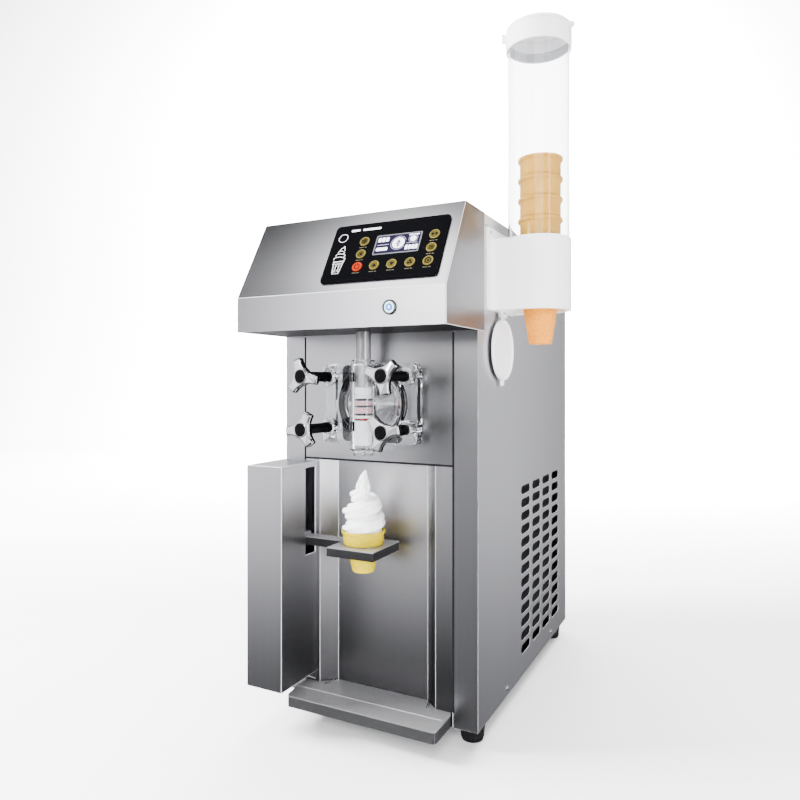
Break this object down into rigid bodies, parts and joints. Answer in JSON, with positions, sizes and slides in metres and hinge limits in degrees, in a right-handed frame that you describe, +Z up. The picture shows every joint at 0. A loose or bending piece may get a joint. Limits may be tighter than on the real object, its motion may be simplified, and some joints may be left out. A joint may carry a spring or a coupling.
{
  "type": "soft serve ice cream machine",
  "caption": "Countertop soft serve machine: stainless cabinet, clear dispensing head with star knobs, cone lift and a side tube of wafer cones.",
  "frame": {"origin": "on the counter, under the middle of the machine's whole outline, cone dispenser and lift pillar included", "axes": "+Z up, +X towards the machine's right side as seen from the front, where the cone dispenser is, +Y from the front to the back"},
  "size_m": [0.4196, 0.6044, 0.9815],
  "materials": {
    "brushed_steel": "brushed",
    "polished_steel": "polished",
    "dark_steel": "satin, dark",
    "black_panel": "gloss",
    "black_metal": "satin black paint",
    "rubber": "matt",
    "white_plastic": "gloss",
    "clear_plastic": "clear",
    "frosted_plastic": "satin, milky",
    "aluminium": "satin",
    "grey_plastic": "matt",
    "key_gold": "gold printed film",
    "screen": "dark display glass",
    "wafer": "baked wafer",
    "yellow_wafer": "yellow wafer",
    "cream": "soft cream"
  },
  "bodies": {
    "machine": {"base_pan": "brushed_steel", "left_side_panel": "brushed_steel", "right_side_panel": "brushed_steel", "back_panel": "brushed_steel", "front_upper_panel": "brushed_steel", "front_recess_panel": "brushed_steel", "top_cover": "brushed_steel", "hood": "brushed_steel", "lift_pillar": "brushed_steel", "mix_hopper": "polished_steel", "start_button_bezel": "polished_steel", "hood_base": "dark_steel", "beater_motor": "dark_steel", "control_panel": "black_panel", "compressor": "black_metal", "lift_motor": "black_metal", "foot_front_left": "rubber", "foot_front_right": "rubber", "foot_rear_left": "rubber", "foot_rear_right": "rubber", "head_seal": "rubber", "drive_belt": "rubber", "dispenser_housing": "white_plastic", "cap_ring": "white_plastic", "dispensing_head": "clear_plastic", "cone_tube": "clear_plastic", "freezing_cylinder": "aluminium", "condenser": "aluminium", "gearbox": "grey_plastic", "valve_actuator": "grey_plastic", "display": "screen"},
    "lift_carriage": {"lift_carriage": "dark_steel", "served_cone": "yellow_wafer", "soft_serve": "cream"},
    "lead_screw": {"lead_screw": "polished_steel"},
    "draw_valve": {"draw_rod": "polished_steel", "valve_plunger": "frosted_plastic"},
    "drip_tray": {"drip_tray": "brushed_steel"},
    "hopper_lid": {"hopper_lid": "polished_steel"},
    "tube_lid": {"tube_lid": "white_plastic"},
    "bottom_flap": {"bottom_flap": "white_plastic"},
    "cone_stack": {"cone_stack": "wafer"},
    "start_button": {"start_button": "white_plastic"},
    "beater": {"beater": "frosted_plastic"},
    "drive_pulley": {"drive_pulley": "aluminium"},
    "motor_pulley": {"motor_pulley": "aluminium"},
    "condenser_fan": {"condenser_fan": "black_panel"},
    "star_knob_top_left": {"star_knob_top_left": "polished_steel"},
    "star_knob_bottom_left": {"star_knob_bottom_left": "polished_steel"},
    "star_knob_top_right": {"star_knob_top_right": "polished_steel"},
    "star_knob_bottom_right": {"star_knob_bottom_right": "polished_steel"},
    "key_standby": {"key_standby": "key_gold"},
    "key_up": {"key_up": "key_gold"},
    "key_down": {"key_down": "key_gold"},
    "key_wash": {"key_wash": "key_gold"},
    "key_menu": {"key_menu": "key_gold"},
    "key_heat": {"key_heat": "key_gold"},
    "key_chill": {"key_chill": "key_gold"},
    "key_count": {"key_count": "key_gold"},
    "key_set": {"key_set": "key_gold"}
  },
  "joints": [
    {"name": "cone_lift", "type": "slide", "parent": "machine", "child": "lift_carriage", "axis": [0, 0, 1], "range_m": [-0.014, 0.09], "deforming": ["soft_serve"]},
    {"name": "lead_screw_spin", "type": "hinge", "parent": "machine", "child": "lead_screw", "pos_m": [-0.1796, -0.24725, 0.097], "axis": [0, 0, 1], "continuous": true},
    {"name": "draw_valve_lift", "type": "slide", "parent": "machine", "child": "draw_valve", "axis": [0, 0, 1], "range_m": [0, 0.03]},
    {"name": "star_knob_top_left_turn", "type": "hinge", "parent": "machine", "child": "star_knob_top_left", "pos_m": [-0.1136, -0.28525, 0.4965], "axis": [0, 1, 0], "continuous": true},
    {"name": "star_knob_bottom_left_turn", "type": "hinge", "parent": "machine", "child": "star_knob_bottom_left", "pos_m": [-0.1136, -0.28525, 0.425], "axis": [0, 1, 0], "continuous": true},
    {"name": "star_knob_top_right_turn", "type": "hinge", "parent": "machine", "child": "star_knob_top_right", "pos_m": [0.0084, -0.28525, 0.4965], "axis": [0, 1, 0], "continuous": true},
    {"name": "star_knob_bottom_right_turn", "type": "hinge", "parent": "machine", "child": "star_knob_bottom_right", "pos_m": [0.0084, -0.28525, 0.425], "axis": [0, 1, 0], "continuous": true},
    {"name": "drip_tray_pull", "type": "slide", "parent": "machine", "child": "drip_tray", "axis": [0, -1, 0], "range_m": [0, 0.07]},
    {"name": "hopper_lid_lift", "type": "slide", "parent": "machine", "child": "hopper_lid", "axis": [0, 0, 1], "range_m": [0, 0.12]},
    {"name": "tube_lid_hinge", "type": "hinge", "parent": "machine", "child": "tube_lid", "pos_m": [0.1118, -0.10325, 0.9776], "axis": [0, -1, 0], "range_deg": [0, 110]},
    {"name": "bottom_flap_hinge", "type": "hinge", "parent": "machine", "child": "bottom_flap", "pos_m": [0.108, -0.10325, 0.5843], "axis": [0, -1, 0], "range_deg": [0, 90]},
    {"name": "cone_stack_rise", "type": "slide", "parent": "machine", "child": "cone_stack", "axis": [0, 0, 1], "range_m": [0, 0.055]},
    {"name": "start_button_press", "type": "slide", "parent": "machine", "child": "start_button", "axis": [0, 1, 0], "range_m": [0, 0.002], "stiffness_N_per_m": 400},
    {"name": "key_standby_press", "type": "slide", "parent": "machine", "child": "key_standby", "axis": [0, 0.8728, -0.4881], "range_m": [0, 0.0008], "stiffness_N_per_m": 600},
    {"name": "key_up_press", "type": "slide", "parent": "machine", "child": "key_up", "axis": [0, 0.8728, -0.4881], "range_m": [0, 0.0008], "stiffness_N_per_m": 600},
    {"name": "key_down_press", "type": "slide", "parent": "machine", "child": "key_down", "axis": [0, 0.8728, -0.4881], "range_m": [0, 0.0008], "stiffness_N_per_m": 600},
    {"name": "key_wash_press", "type": "slide", "parent": "machine", "child": "key_wash", "axis": [0, 0.8728, -0.4881], "range_m": [0, 0.0008], "stiffness_N_per_m": 600},
    {"name": "key_menu_press", "type": "slide", "parent": "machine", "child": "key_menu", "axis": [0, 0.8728, -0.4881], "range_m": [0, 0.0008], "stiffness_N_per_m": 600},
    {"name": "key_heat_press", "type": "slide", "parent": "machine", "child": "key_heat", "axis": [0, 0.8728, -0.4881], "range_m": [0, 0.0008], "stiffness_N_per_m": 600},
    {"name": "key_chill_press", "type": "slide", "parent": "machine", "child": "key_chill", "axis": [0, 0.8728, -0.4881], "range_m": [0, 0.0008], "stiffness_N_per_m": 600},
    {"name": "key_count_press", "type": "slide", "parent": "machine", "child": "key_count", "axis": [0, 0.8728, -0.4881], "range_m": [0, 0.0008], "stiffness_N_per_m": 600},
    {"name": "key_set_press", "type": "slide", "parent": "machine", "child": "key_set", "axis": [0, 0.8728, -0.4881], "range_m": [0, 0.0008], "stiffness_N_per_m": 600},
    {"name": "beater_spin", "type": "hinge", "parent": "machine", "child": "beater", "pos_m": [-0.0526, -0.18925, 0.459], "axis": [0, 1, 0], "continuous": true},
    {"name": "drive_pulley_spin", "type": "hinge", "parent": "machine", "child": "drive_pulley", "pos_m": [-0.0526, 0.12275, 0.459], "axis": [0, 1, 0], "continuous": true},
    {"name": "motor_pulley_spin", "type": "hinge", "parent": "machine", "child": "motor_pulley", "pos_m": [-0.0526, 0.12275, 0.262], "axis": [0, 1, 0], "continuous": true},
    {"name": "condenser_fan_spin", "type": "hinge", "parent": "machine", "child": "condenser_fan", "pos_m": [0.0284, 0.12375, 0.192], "axis": [1, 0, 0], "continuous": true}
  ],
  "couplings": [
    {"joint": "lead_screw_spin", "follows": "cone_lift", "rad_per_m": 314.16},
    {"joint": "cone_stack_rise", "follows": "bottom_flap_hinge", "m_per_rad": 0.035},
    {"joint": "drive_pulley_spin", "follows": "beater_spin", "ratio": 4},
    {"joint": "motor_pulley_spin", "follows": "beater_spin", "ratio": 10.667}
  ]
}
